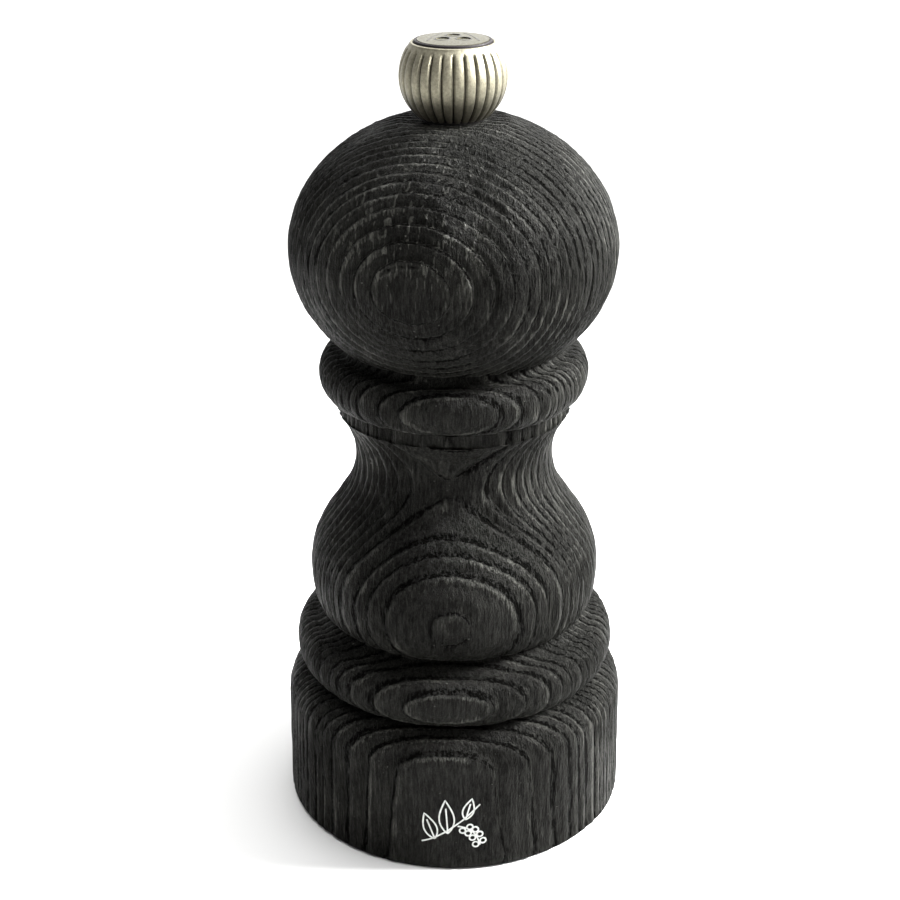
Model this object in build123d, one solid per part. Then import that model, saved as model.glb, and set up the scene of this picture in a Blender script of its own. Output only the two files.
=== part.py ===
from build123d import *
import os
from math import acos, asin, atan2, cos, degrees, hypot, sin

# Pepper mill with a turned wooden body and head, in millimetres. +Z is up, along the mill's
# axis, and the origin is the centre of the foot's underside. Turned outlines are drawn as
# (radius, height) and spun round Z.

# ---- driving dimensions -----------------------------------------------------------------

BODY_TOP = 77.4             # where the head sits
FOOT_RADIUS = 27.1          # the foot tapers very slightly towards its shoulder
SHOULDER_RADIUS = 26.86
SHOULDER_Z = 17.5

BEAD_Z = 27.3               # large bead above the foot: centre height, core radius, half axes
BEAD_CORE = 22.0
BEAD_OUT = 3.2
BEAD_HALF = 4.1
CREASE = 0.3                # width of the groove's floor between shoulder and bead

GROOVE_RADIUS = 20.0        # groove between the large bead and the belly
GROOVE_BOTTOM = 32.7
GROOVE_TOP = 33.5
BELLY_RADIUS = 22.57        # widest point of the vase shape
BELLY_Z = 40.4
BELLY_ARC = 13.6
BELLY_CURL = 2.0            # how far the belly turns in below its widest point
NECK_RADIUS = 15.1          # narrowest point of the neck
NECK_Z = 59.2
NECK_ARC = 11.6
NECK_TOP = 66.6
BAND_RADIUS = 17.55         # plain band under the collar bead
COLLAR_Z = 72.5             # collar bead, as for the large bead
COLLAR_CORE = 17.9
COLLAR_OUT = 2.4
COLLAR_HALF = 3.5
SEAT_RADIUS = 16.4          # rim that the head sits over

HEAD_GAP = 0.25             # seam between body and head
BALL_RADIUS = 24.2
BALL_Z = 91.5
BALL_HALF_HEIGHT = 19.9
HEAD_TOP = 110.3            # small flat under the knob
HEAD_BORE = 4.0
TENON_RADIUS = 11.2
TENON_END = 66.4

RECESS_RADIUS = 20.5        # recess in the foot, where the ground pepper leaves
RECESS_DEPTH = 8.0
GRINDER_BORE = 15.2
GRINDER_BORE_TOP = 27.6
CHAMBER_RADIUS = 11.5       # peppercorn chamber, open up through the neck
EDGE = 0.5                  # softening of turned wooden edges

SPINDLE_SQUARE = 5.0        # across flats; the thread is cut on the same rod
SPINDLE_FOOT = 6.2
SPINDLE_THREAD_START = 105.0
SPINDLE_TOP = 117.6
SPINDLE_NECK = 2.2          # round end under the grinder
CLIP_GROOVE = 1.75
CLIP_THICKNESS = 0.6
TIP_BEVEL = 0.2
THREAD_BEVEL = 0.5

SHEET = 1.0                 # thickness of the pressed steel parts
FLANGE_RADIUS = 20.2
CUP_RADIUS = 15.0
CUP_TOP = 27.3
CUP_ROLL = 0.8              # thickness of the edge rolled in over the bridge
CUP_LIP = 12.2              # radius of the opening under the ring

CONE_FOOT = 8.0             # male grinder: foot, break between fine and coarse teeth, top
CONE_BREAK = 12.8
CONE_TOP = 17.2
CONE_RADIUS = 10.6
CONE_TOP_RADIUS = 7.0
CONE_SLOPE = 0.36           # radius lost for each millimetre of height in the fine stage
CONE_SEAT = 1.6             # depth of the spring's seat in the top
CONE_BEVEL = 0.3
GRIND_GAP = 0.28            # between the two sets of fine teeth, at rest
RING_TOP = 25.5
THROAT_RADIUS = 11.3
FINE_TEETH = 36             # on the cone; the ring has TEETH_MORE more of each kind
FINE_DEPTH = 0.75
FINE_SLANT = 14.0           # degrees from the axis
FINE_LENGTH = 6.4           # length of the groove cutters, which start CUTTER_LEAD early
COARSE_TEETH = 8
COARSE_DEPTH = 1.7
COARSE_SLANT = 38.0
COARSE_LENGTH = 8.0
THROAT_SLANT = 19.0
THROAT_LENGTH = 16.0
CUTTER_LEAD = 0.6
TEETH_MORE = 2

SCREW_CIRCLE = 17.7         # screws' circle, then their head and shank radii and their length
HOUSING_SCREWS = 3
HOUSING_SCREW_HEAD = 2.1
HOUSING_SCREW_SHANK = 1.25
HOUSING_SCREW_LENGTH = 10.0
SCREW_FIT = 0.1             # between a screw and its hole in the metal
PILOT_SPARE = 0.2           # how much deeper than the screw its hole in the wood is
PLATE_THICKNESS = 1.4
PLATE_SCREWS = 2
PLATE_SCREW_CIRCLE = 7.4
PLATE_SCREW_HEAD = 1.85
PLATE_SCREW_SHANK = 0.9
PLATE_SCREW_LENGTH = 8.6

HUB_RADIUS = 6.4            # bridge and the bush that turns in it
HUB_BORE = 4.4
BRIDGE_ARMS = 3
ARM_WIDTH = 2.6
BUSH_CLEARANCE = 0.06
BUSH_FLANGE = 5.9
BUSH_PROUD = 0.3            # how far the bush's end stands above the cup
SQUARE_FIT = 0.2            # between the square rod and a hole that it slides through

WIRE = 0.8
SPRING_RADIUS = 4.5         # to the wire's centre
SPRING_TURNS = 5.0
SPRING_WASHER = 0.4         # thickness
SPRING_WASHER_RADIUS = 5.2
SPRING_WASHER_BORE = 3.75
GRINDER_WASHER_RADIUS = 5.4
CLIP_RADIUS = 4.0
CLIP_MOUTH = 2.6

KNOB_WASHER_RADIUS = 4.5
KNOB_WASHER_BORE = 3.0
WASHER_TOP = HEAD_TOP + 0.4     # the knob stands on its washer
KNOB_RADIUS = 7.68
KNOB_Z = 116.4
KNOB_ARC = 7.3
KNOB_TOP = 121.15
KNOB_FLUTES = 28
FLUTE_TOP = 120.5
FLUTE_DEPTH = 0.30
FLUTE_HALF_WIDTH = 0.34
FLUTE_SWEEP = 60            # degrees that a flute runs down round the knob's side
KNOB_SHOULDER = (0.12, 0.42)    # top of the flutes to the bulge of the rim: inward, up
KNOB_RIM = 0.25             # flat round the cap ring's pocket
THREAD_CLEARANCE = 0.08
THREAD_SPARE = 0.8          # blind hole above the spindle's tip
DRILL_POINT = 0.4
CAP_FLOOR = 119.8
CAP_RADIUS = 5.1
CAP_RING_RADIUS = 5.58
CAP_RING_TOP = 121.45
CAP_TOP = 121.7
CAP_DOME = 0.2
CAP_BEVEL = 0.1
RING_LIP = 0.12
DIMPLES = 3                 # round dimples in the cap, a plain pepper mark
DIMPLE_CIRCLE = 1.7
DIMPLE_RADIUS = 1.0
DIMPLE_DEPTH = 0.18

SLACK = 0.03                # between pieces that are pressed or dropped into each other


# ---- helpers ----------------------------------------------------------------------------

def turned(*edges):
    """Spins a closed (radius, height) outline round the mill's axis."""
    return revolve(Plane.XZ * make_face(list(edges)), Axis.Z)


def turned_points(*points):
    return turned(*Polyline(*points, close=True).edges())


def rod(radius, bottom, top):
    return Pos(0, 0, bottom) * extrude(Circle(radius), top - bottom)


def square_rod(side, bottom, top):
    return Pos(0, 0, bottom) * extrude(Rectangle(side, side), top - bottom)


def tube(outer, inner, bottom, top):
    return rod(outer, bottom, top) - rod(inner, bottom, top)


def around(shape, count, start=0.0):
    """Copies of a shape, evenly spaced round the mill's axis."""
    return [Rot(0, 0, start + 360.0 * i / count) * shape for i in range(count)]


def cross_tangent(low, low_radius, high, high_radius):
    """Ends of the straight flank from a bulge (circle low) up to a hollow (circle high)."""
    across = high[0] - low[0]
    up = high[1] - low[1]
    total = low_radius + high_radius
    angle = atan2(up, across) - acos(total / hypot(across, up))
    toward = (cos(angle), sin(angle))
    start = (low[0] + low_radius * toward[0], low[1] + low_radius * toward[1])
    end = (high[0] - high_radius * toward[0], high[1] - high_radius * toward[1])
    return start, end


def cone_radius(z):
    """Outer envelope of the male grinder's fine teeth."""
    return CONE_RADIUS - CONE_SLOPE * (z - CONE_FOOT)


def countersink(head_radius, hole_radius, bottom, top):
    """Screw hole through a plate, with the countersink on its underside."""
    depth = head_radius - hole_radius
    return turned_points(
        (0, bottom), (head_radius, bottom), (hole_radius, bottom + depth), (hole_radius, top), (0, top)
    )


def wood_screw(head_radius, shank_radius, length):
    """Countersunk cross-head screw, head down at z = 0 and point up."""
    head_height = head_radius - shank_radius
    point = 2.2 * shank_radius
    slot_length = 1.3 * head_radius
    slot_width = 0.32 * head_radius
    slot_depth = 0.55 * head_height
    screw = turned_points(
        (0, 0), (head_radius, 0), (shank_radius, head_height), (shank_radius, length - point), (0, length)
    )
    slot = extrude(Rectangle(slot_length, slot_width), slot_depth)
    return screw - slot - Rot(0, 0, 90) * slot


# ---- wooden parts -----------------------------------------------------------------------

def bead(core, z, out, half):
    """Half an ellipse standing out from radius core, from its lower to its upper end."""
    return EllipticalCenterArc((core, z), out, half, start_angle=-90, arc_size=180)


def body_outline():
    """The body's outside, from the edge of the foot up to the seat for the head."""
    shoulder_half = BEAD_Z - BEAD_HALF - CREASE - SHOULDER_Z
    belly_centre = (BELLY_RADIUS - BELLY_ARC, BELLY_Z)
    neck_centre = (NECK_RADIUS + NECK_ARC, NECK_Z)
    flank_start, flank_end = cross_tangent(belly_centre, BELLY_ARC, neck_centre, NECK_ARC)
    neck_top_radius = neck_centre[0] - (NECK_ARC**2 - (NECK_TOP - NECK_Z) ** 2) ** 0.5
    collar_foot = (COLLAR_CORE, COLLAR_Z - COLLAR_HALF)
    collar_top = (COLLAR_CORE, COLLAR_Z + COLLAR_HALF)
    return [
        Line((FOOT_RADIUS - EDGE, 0), (FOOT_RADIUS, EDGE)),
        Line((FOOT_RADIUS, EDGE), (SHOULDER_RADIUS, SHOULDER_Z)),
        EllipticalCenterArc(
            (BEAD_CORE, SHOULDER_Z), SHOULDER_RADIUS - BEAD_CORE, shoulder_half, arc_size=90
        ),
        Line((BEAD_CORE, BEAD_Z - BEAD_HALF - CREASE), (BEAD_CORE, BEAD_Z - BEAD_HALF)),
        bead(BEAD_CORE, BEAD_Z, BEAD_OUT, BEAD_HALF),
        Line((BEAD_CORE, BEAD_Z + BEAD_HALF), (GROOVE_RADIUS, GROOVE_BOTTOM)),
        Line((GROOVE_RADIUS, GROOVE_BOTTOM), (GROOVE_RADIUS, GROOVE_TOP)),
        Line((GROOVE_RADIUS, GROOVE_TOP), (BELLY_RADIUS - BELLY_CURL, GROOVE_TOP)),
        EllipticalCenterArc(
            (BELLY_RADIUS - BELLY_CURL, BELLY_Z), BELLY_CURL, BELLY_Z - GROOVE_TOP,
            start_angle=-90, arc_size=90,
        ),
        TangentArc((BELLY_RADIUS, BELLY_Z), flank_start, tangent=(0, 1)),
        Line(flank_start, flank_end),
        ThreePointArc(flank_end, (NECK_RADIUS, NECK_Z), (neck_top_radius, NECK_TOP)),
        Line((neck_top_radius, NECK_TOP), (BAND_RADIUS, NECK_TOP)),
        Line((BAND_RADIUS, NECK_TOP), (BAND_RADIUS, collar_foot[1])),
        Line((BAND_RADIUS, collar_foot[1]), collar_foot),
        bead(COLLAR_CORE, COLLAR_Z, COLLAR_OUT, COLLAR_HALF),
        TangentArc((SEAT_RADIUS, BODY_TOP), collar_top, tangent=(0, -1)),
    ]


def wooden_body():
    inside = Polyline(
        (SEAT_RADIUS, BODY_TOP), (CHAMBER_RADIUS, BODY_TOP), (CHAMBER_RADIUS, GRINDER_BORE_TOP),
        (GRINDER_BORE, GRINDER_BORE_TOP), (GRINDER_BORE, RECESS_DEPTH),
        (RECESS_RADIUS, RECESS_DEPTH), (RECESS_RADIUS, 0), (FOOT_RADIUS - EDGE, 0),
    )
    body = turned(*body_outline(), *inside.edges())
    pilot_end = RECESS_DEPTH - SHEET + HOUSING_SCREW_LENGTH + PILOT_SPARE
    pilot = Pos(SCREW_CIRCLE, 0, 0) * rod(HOUSING_SCREW_SHANK + SLACK, RECESS_DEPTH, pilot_end)
    return body - around(pilot, HOUSING_SCREWS, 90)


def wooden_head():
    """Ball with a tenon below it, bored through for the spindle."""
    bottom = BODY_TOP + HEAD_GAP
    low = (bottom + EDGE - BALL_Z) / BALL_HALF_HEIGHT
    high = (HEAD_TOP - BALL_Z) / BALL_HALF_HEIGHT
    low_radius = BALL_RADIUS * cos(asin(low))
    high_radius = BALL_RADIUS * cos(asin(high))
    inside = Polyline(
        (high_radius, HEAD_TOP), (HEAD_BORE, HEAD_TOP), (HEAD_BORE, TENON_END),
        (TENON_RADIUS - EDGE, TENON_END), (TENON_RADIUS, TENON_END + EDGE), (TENON_RADIUS, bottom),
        (low_radius - EDGE, bottom), (low_radius, bottom + EDGE),
    )
    ball = EllipticalCenterArc(
        (0, BALL_Z), BALL_RADIUS, BALL_HALF_HEIGHT,
        start_angle=degrees(asin(low)), arc_size=degrees(asin(high) - asin(low)),
    )
    head = turned(ball, *inside.edges())
    pilot_end = TENON_END - PLATE_THICKNESS + PLATE_SCREW_LENGTH + PILOT_SPARE
    pilot = Pos(PLATE_SCREW_CIRCLE, 0, 0) * rod(PLATE_SCREW_SHANK + SLACK, TENON_END, pilot_end)
    return head - around(pilot, PLATE_SCREWS)


# ---- knob -------------------------------------------------------------------------------

def knob_side(z):
    """Radius of the knob's side at height z."""
    return KNOB_RADIUS - KNOB_ARC + (KNOB_ARC**2 - (z - KNOB_Z) ** 2) ** 0.5


def knob():
    """Fluted metal knob, with a blind hole for the thread and a pocket for the cap."""
    foot = (knob_side(WASHER_TOP), WASHER_TOP)
    crown = (knob_side(FLUTE_TOP), FLUTE_TOP)
    pocket = CAP_RING_RADIUS + SLACK
    shoulder = (crown[0] - KNOB_SHOULDER[0], crown[1] + KNOB_SHOULDER[1])
    rim = pocket + KNOB_RIM
    bore = SPINDLE_SQUARE / 2 + THREAD_CLEARANCE
    bore_end = SPINDLE_TOP + THREAD_SPARE
    inside = Polyline(
        (rim, KNOB_TOP), (pocket, KNOB_TOP), (pocket, CAP_FLOOR), (0, CAP_FLOOR),
        (0, bore_end + DRILL_POINT), (bore, bore_end), (bore, WASHER_TOP), foot,
    )
    solid = turned(
        ThreePointArc(foot, (KNOB_RADIUS, KNOB_Z), crown),
        ThreePointArc(crown, shoulder, (rim, KNOB_TOP)),
        *inside.edges(),
    )
    tip = KNOB_RADIUS - FLUTE_DEPTH
    mouth = KNOB_RADIUS + FLUTE_DEPTH
    section = Polyline(
        (tip, 0), (mouth, 2 * FLUTE_HALF_WIDTH), (mouth, -2 * FLUTE_HALF_WIDTH), close=True
    )
    section = Plane.XY.offset(KNOB_Z) * make_face(section.edges())
    centre = (KNOB_RADIUS - KNOB_ARC, 0, KNOB_Z)
    rise = degrees(asin((FLUTE_TOP - KNOB_Z) / KNOB_ARC))
    upper = revolve(section, Axis(centre, (0, -1, 0)), revolution_arc=rise)
    lower = revolve(section, Axis(centre, (0, 1, 0)), revolution_arc=FLUTE_SWEEP)
    return solid - around(upper + lower, KNOB_FLUTES)


def knob_cap_ring():
    """Black ring, its top rounded up to the cap."""
    inner = CAP_RADIUS + SLACK
    lip = inner + RING_LIP
    inside = Polyline(
        (lip, CAP_RING_TOP), (inner, CAP_RING_TOP), (inner, CAP_FLOOR), (CAP_RING_RADIUS, CAP_FLOOR),
        (CAP_RING_RADIUS, KNOB_TOP),
    )
    top = TangentArc((CAP_RING_RADIUS, KNOB_TOP), (lip, CAP_RING_TOP), tangent=(0, 1))
    return turned(top, *inside.edges())


def knob_cap():
    """Slightly domed disc, with three round dimples as a plain pepper mark."""
    edge = CAP_RADIUS - CAP_BEVEL
    rim = CAP_TOP - CAP_DOME
    inside = Polyline(
        (0, CAP_TOP), (0, CAP_FLOOR), (CAP_RADIUS, CAP_FLOOR), (CAP_RADIUS, rim), (edge, rim)
    )
    top = TangentArc((0, CAP_TOP), (edge, rim), tangent=(1, 0))
    dimple = Pos(DIMPLE_CIRCLE, 0, 0) * rod(DIMPLE_RADIUS, CAP_TOP - DIMPLE_DEPTH, CAP_TOP + 1)
    return turned(top, *inside.edges()) - around(dimple, DIMPLES, 90)


def knob_washer():
    return tube(KNOB_WASHER_RADIUS, KNOB_WASHER_BORE, HEAD_TOP, WASHER_TOP)


# ---- spindle and drive ------------------------------------------------------------------

def spindle():
    """Square rod: round end with a groove for the clip below, thread above."""
    clip_top = CONE_FOOT - CLIP_THICKNESS
    clip_bottom = clip_top - CLIP_THICKNESS
    end = turned_points(
        (0, SPINDLE_FOOT), (SPINDLE_NECK - TIP_BEVEL, SPINDLE_FOOT),
        (SPINDLE_NECK, SPINDLE_FOOT + TIP_BEVEL), (SPINDLE_NECK, clip_bottom), (CLIP_GROOVE, clip_bottom), (CLIP_GROOVE, clip_top),
        (SPINDLE_NECK, clip_top), (SPINDLE_NECK, CONE_FOOT), (0, CONE_FOOT),
    )
    thread = SPINDLE_SQUARE / 2
    tip = turned_points(
        (0, SPINDLE_THREAD_START), (thread, SPINDLE_THREAD_START), (thread, SPINDLE_TOP - THREAD_BEVEL),
        (thread - THREAD_BEVEL, SPINDLE_TOP), (0, SPINDLE_TOP),
    )
    return end + square_rod(SPINDLE_SQUARE, CONE_FOOT, SPINDLE_THREAD_START) + tip


def drive_plate():
    bottom = TENON_END - PLATE_THICKNESS
    plate = rod(TENON_RADIUS - EDGE, bottom, TENON_END)
    hole = countersink(PLATE_SCREW_HEAD + SCREW_FIT, PLATE_SCREW_SHANK + SCREW_FIT, bottom, TENON_END)
    plate -= square_rod(SPINDLE_SQUARE + SQUARE_FIT, bottom, TENON_END)
    return plate - around(Pos(PLATE_SCREW_CIRCLE, 0, 0) * hole, PLATE_SCREWS)


def drive_plate_screws():
    screw = wood_screw(PLATE_SCREW_HEAD, PLATE_SCREW_SHANK, PLATE_SCREW_LENGTH)
    place = Pos(PLATE_SCREW_CIRCLE, 0, TENON_END - PLATE_THICKNESS)
    return Compound(around(place * screw, PLATE_SCREWS))


# ---- grinder ----------------------------------------------------------------------------

def groove_cutter(radius, z, depth, slant, lean, length, inward):
    """Triangular bar lying along a cone's surface, its edge pointing in or out by depth."""
    bar = extrude(RegularPolygon(depth, 3), length)
    if inward:
        bar = Rot(0, 0, 180) * bar
    return Pos(radius, 0, z) * Rot(slant, lean, 0) * Pos(0, 0, -CUTTER_LEAD) * bar


def male_grinder():
    """Cone with spiral cracking ridges above and fine slanting teeth below."""
    break_radius = cone_radius(CONE_BREAK)
    corner = CONE_FOOT + CONE_BEVEL
    core = turned_points(
        (0, CONE_FOOT), (CONE_RADIUS - CONE_BEVEL, CONE_FOOT), (cone_radius(corner), corner),
        (break_radius, CONE_BREAK), (CONE_TOP_RADIUS, CONE_TOP), (0, CONE_TOP),
    )
    fine_lean = -degrees(atan2(CONE_SLOPE, 1))
    fine = groove_cutter(CONE_RADIUS, CONE_FOOT, FINE_DEPTH, FINE_SLANT, fine_lean, FINE_LENGTH, True)
    coarse_lean = -degrees(atan2(break_radius - CONE_TOP_RADIUS, CONE_TOP - CONE_BREAK))
    coarse = groove_cutter(
        break_radius, CONE_BREAK, COARSE_DEPTH, -COARSE_SLANT, coarse_lean, COARSE_LENGTH, True
    )
    seat = rod(SPRING_RADIUS + WIRE, CONE_TOP - CONE_SEAT, CONE_TOP)
    square = square_rod(SPINDLE_SQUARE + 2 * SLACK, CONE_FOOT, CONE_TOP)
    return core - around(fine, FINE_TEETH) - around(coarse, COARSE_TEETH) - seat - square


def female_grinder():
    """Ring with fine teeth at its foot and cracking grooves up its throat."""
    lower = cone_radius(RECESS_DEPTH) + GRIND_GAP
    upper = cone_radius(CONE_BREAK) + GRIND_GAP
    outer = CUP_RADIUS - SHEET - SLACK
    ring = turned_points(
        (lower, RECESS_DEPTH), (outer, RECESS_DEPTH), (outer, RING_TOP), (THROAT_RADIUS, RING_TOP),
        (upper, CONE_BREAK),
    )
    fine_lean = -degrees(atan2(CONE_SLOPE, 1))
    fine = groove_cutter(lower, RECESS_DEPTH, FINE_DEPTH, -FINE_SLANT, fine_lean, FINE_LENGTH, False)
    coarse_lean = degrees(atan2(THROAT_RADIUS - upper, RING_TOP - CONE_BREAK))
    coarse = groove_cutter(
        upper, CONE_BREAK, COARSE_DEPTH, THROAT_SLANT, coarse_lean, THROAT_LENGTH, False
    )
    return ring - around(fine, FINE_TEETH + TEETH_MORE) - around(coarse, COARSE_TEETH + TEETH_MORE)


def grinder_housing():
    """Pressed cup: flange for the screws, lip under the ring, edge rolled in over the bridge."""
    bottom = RECESS_DEPTH - SHEET
    inner = CUP_RADIUS - SHEET
    roll = CUP_TOP - CUP_ROLL
    cup = turned_points(
        (CUP_LIP, bottom), (FLANGE_RADIUS, bottom), (FLANGE_RADIUS, RECESS_DEPTH),
        (CUP_RADIUS, RECESS_DEPTH), (CUP_RADIUS, CUP_TOP), (inner - SHEET, CUP_TOP),
        (inner - SHEET, roll), (inner, roll), (inner, RECESS_DEPTH), (CUP_LIP, RECESS_DEPTH),
    )
    hole = countersink(
        HOUSING_SCREW_HEAD + SCREW_FIT, HOUSING_SCREW_SHANK + SCREW_FIT, bottom, RECESS_DEPTH
    )
    return cup - around(Pos(SCREW_CIRCLE, 0, 0) * hole, HOUSING_SCREWS, 90)


def housing_screws():
    screw = wood_screw(HOUSING_SCREW_HEAD, HOUSING_SCREW_SHANK, HOUSING_SCREW_LENGTH)
    place = Pos(SCREW_CIRCLE, 0, RECESS_DEPTH - SHEET)
    return Compound(around(place * screw, HOUSING_SCREWS, 90))


def spindle_bridge():
    """Rim, three arms and a hub, cut from sheet; peppercorns fall between the arms."""
    rim = tube(CUP_RADIUS - SHEET - SLACK, THROAT_RADIUS, RING_TOP, RING_TOP + SHEET)
    hub = rod(HUB_RADIUS, RING_TOP, RING_TOP + SHEET)
    arm_end = (CUP_RADIUS + THROAT_RADIUS) / 2
    arm = Pos(arm_end / 2, 0, RING_TOP) * extrude(Rectangle(arm_end, ARM_WIDTH), SHEET)
    return rim + hub + around(arm, BRIDGE_ARMS, 90) - rod(HUB_BORE, RING_TOP, RING_TOP + SHEET)


def guide_bush():
    """Turns with the spindle: a flange under the hub and a barrel through it."""
    bottom = RING_TOP - SHEET
    top = CUP_TOP + BUSH_PROUD
    bush = rod(BUSH_FLANGE, bottom, RING_TOP) + rod(HUB_BORE - BUSH_CLEARANCE, bottom, top)
    return bush - square_rod(SPINDLE_SQUARE + SQUARE_FIT, bottom, top)


def grinder_spring():
    low = CONE_TOP - CONE_SEAT + SPRING_WASHER + WIRE / 2
    high = RING_TOP - SHEET - WIRE / 2
    path = Helix(pitch=(high - low) / SPRING_TURNS, height=high - low, radius=SPRING_RADIUS)
    section = Plane(origin=path @ 0, z_dir=path % 0) * Circle(WIRE / 2)
    return Pos(0, 0, low) * sweep(section, path=path)


def spring_washer():
    bottom = CONE_TOP - CONE_SEAT
    return tube(SPRING_WASHER_RADIUS, SPRING_WASHER_BORE, bottom, bottom + SPRING_WASHER)


def grinder_washer():
    bore = SPINDLE_NECK + SQUARE_FIT / 2
    return tube(GRINDER_WASHER_RADIUS, bore, CONE_FOOT - CLIP_THICKNESS, CONE_FOOT)


def retaining_clip():
    """Open ring that snaps into the spindle's groove from one side."""
    top = CONE_FOOT - CLIP_THICKNESS - SLACK
    bottom = CONE_FOOT - 2 * CLIP_THICKNESS + SLACK
    ring = tube(CLIP_RADIUS, CLIP_GROOVE + SLACK, bottom, top)
    mouth = Pos(CLIP_RADIUS, 0, bottom) * extrude(Rectangle(2 * CLIP_RADIUS, CLIP_MOUTH), top - bottom)
    return ring - mouth


# ---- write ------------------------------------------------------------------------------

PARTS = [
    wooden_body, wooden_head, knob, knob_cap_ring, knob_cap, knob_washer, spindle, drive_plate,
    drive_plate_screws, male_grinder, female_grinder, grinder_housing, housing_screws,
    spindle_bridge, guide_bush, grinder_spring, spring_washer, grinder_washer, retaining_clip,
]

os.makedirs("parts", exist_ok=True)
for make in PARTS:
    export_step(make(), f"parts/{make.__name__}.step")
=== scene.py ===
import math
import random

import bpy
import numpy as np
from mathutils import Matrix, Vector, noise
from mathutils.bvhtree import BVHTree


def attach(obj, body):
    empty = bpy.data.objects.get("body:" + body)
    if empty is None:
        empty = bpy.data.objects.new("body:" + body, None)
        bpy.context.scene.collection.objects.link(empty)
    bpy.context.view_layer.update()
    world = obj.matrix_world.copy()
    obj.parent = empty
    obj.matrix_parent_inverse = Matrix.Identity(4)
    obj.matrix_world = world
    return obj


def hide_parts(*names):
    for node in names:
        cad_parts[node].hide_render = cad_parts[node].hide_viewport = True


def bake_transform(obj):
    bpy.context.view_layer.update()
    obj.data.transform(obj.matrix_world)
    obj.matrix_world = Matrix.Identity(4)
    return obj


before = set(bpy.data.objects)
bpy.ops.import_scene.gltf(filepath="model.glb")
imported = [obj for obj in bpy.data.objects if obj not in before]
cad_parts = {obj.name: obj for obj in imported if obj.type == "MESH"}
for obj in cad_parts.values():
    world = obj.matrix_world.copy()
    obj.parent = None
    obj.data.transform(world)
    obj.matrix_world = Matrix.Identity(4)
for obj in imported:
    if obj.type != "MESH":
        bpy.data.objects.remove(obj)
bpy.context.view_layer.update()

# Lengths below are in millimetres, as in the CAD, and MM turns them into metres.
MM = 0.001

# Outline of the turned wood and of the knob: the same driving sizes as the CAD model.
BODY_TOP = 77.4
FOOT_RADIUS = 27.1
SHOULDER_RADIUS = 26.86
SHOULDER_Z = 17.5
BEAD_Z = 27.3
BEAD_CORE = 22.0
BEAD_OUT = 3.2
BEAD_HALF = 4.1
CREASE = 0.3
GROOVE_RADIUS = 20.0
GROOVE_BOTTOM = 32.7
GROOVE_TOP = 33.5
BELLY_RADIUS = 22.57
BELLY_Z = 40.4
BELLY_ARC = 13.6
BELLY_CURL = 2.0
NECK_RADIUS = 15.1
NECK_Z = 59.2
NECK_ARC = 11.6
NECK_TOP = 66.6
BAND_RADIUS = 17.55
COLLAR_Z = 72.5
COLLAR_CORE = 17.9
COLLAR_OUT = 2.4
COLLAR_HALF = 3.5
SEAT_RADIUS = 16.4
HEAD_BOTTOM = BODY_TOP + 0.25
BALL_RADIUS = 24.2
BALL_Z = 91.5
BALL_HALF_HEIGHT = 19.9
HEAD_TOP = 110.3
HEAD_BORE = 4.0
TENON_RADIUS = 11.2
TENON_END = 66.4
RECESS_RADIUS = 20.5
RECESS_DEPTH = 8.0
GRINDER_BORE = 15.2
GRINDER_BORE_TOP = 27.6
CHAMBER_RADIUS = 11.5
EDGE = 0.5
INNER_RING = 52.0           # an extra ring of points half way up the chamber
BORE_RING = 88.0            # and half way up the head's bore
BORE_EDGE = 0.4             # softening of the head's bore

KNOB_FOOT_Z = HEAD_TOP + 0.4
KNOB_RADIUS = 7.68
KNOB_Z = 116.4
KNOB_ARC = 7.3
KNOB_TOP = 121.15
KNOB_FLUTES = 28
FLUTE_TOP = 120.5
FLUTE_DEPTH = 0.34
FLUTE_HALF_WIDTH = 0.34
FLUTE_FADE = 0.35           # height over which a flute dies out under the rim
RIB_CROWN = 0.05            # how far the ribs bulge between the flutes
KNOB_RIM = 0.25             # width and height of the rounded rim
KNOB_RIM_DROP = 0.12
CAP_FLOOR = 119.8
CAP_RADIUS = 5.1
CAP_RING_RADIUS = 5.58
CAP_RING_TOP = 121.45
CAP_TOP = 121.7
CAP_DOME = 0.2
CAP_BEVEL = 0.1
RING_FLAT = 0.2             # black ring: its flat inner part, rounded edge and upright side
RING_EDGE = 0.05
RING_SIDE = 0.1
DIMPLES = 3
DIMPLE_CIRCLE = 1.7
DIMPLE_RADIUS = 1.0
MARK_AT = (-0.5, 8.6)        # middle of the printed mark: sideways and up
PRINT = 0.05                # how far printed lines stand out
PRINT_DEPTH = 0.1           # thickness of printed lines
SPRIG_LINE = 0.23           # widths of the two marks' lines
CAP_LINE = 0.24
SLACK = 0.03
POLE = 0.02                 # radius that stands for the axis, where a turned face closes

SPINDLE_SQUARE = 5.0
SPINDLE_CORNER = 3.45
SPINDLE_FOOT = 6.2
SPINDLE_NECK = 2.2
SPINDLE_THREAD_START = 105.0
SPINDLE_TOP = 117.6
THREAD_PITCH = 0.8
THREAD_DEPTH = 0.26
THREAD_BEVEL = 0.5
TIP_BEVEL = 0.2
THREAD_STEP = 0.08          # height between rows of points along the thread
THREAD_RUN_IN = 0.8         # length over which the thread gets deep
BORE_CLEARANCE = 0.08       # knob's blind hole round the thread
BORE_TOP = 118.4
BORE_POINT = 118.8
BORE_CHAMFER = 0.3
CLIP_GROOVE = 1.75
CLIP_THICKNESS = 0.6
CONE_FOOT = 8.0
WIRE = 0.8
SPRING_RADIUS = 4.5
SPRING_LOW = 16.4           # middle of the wire, at the ends of the coil
SPRING_HIGH = 24.1
SPRING_TURNS = 6

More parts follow.
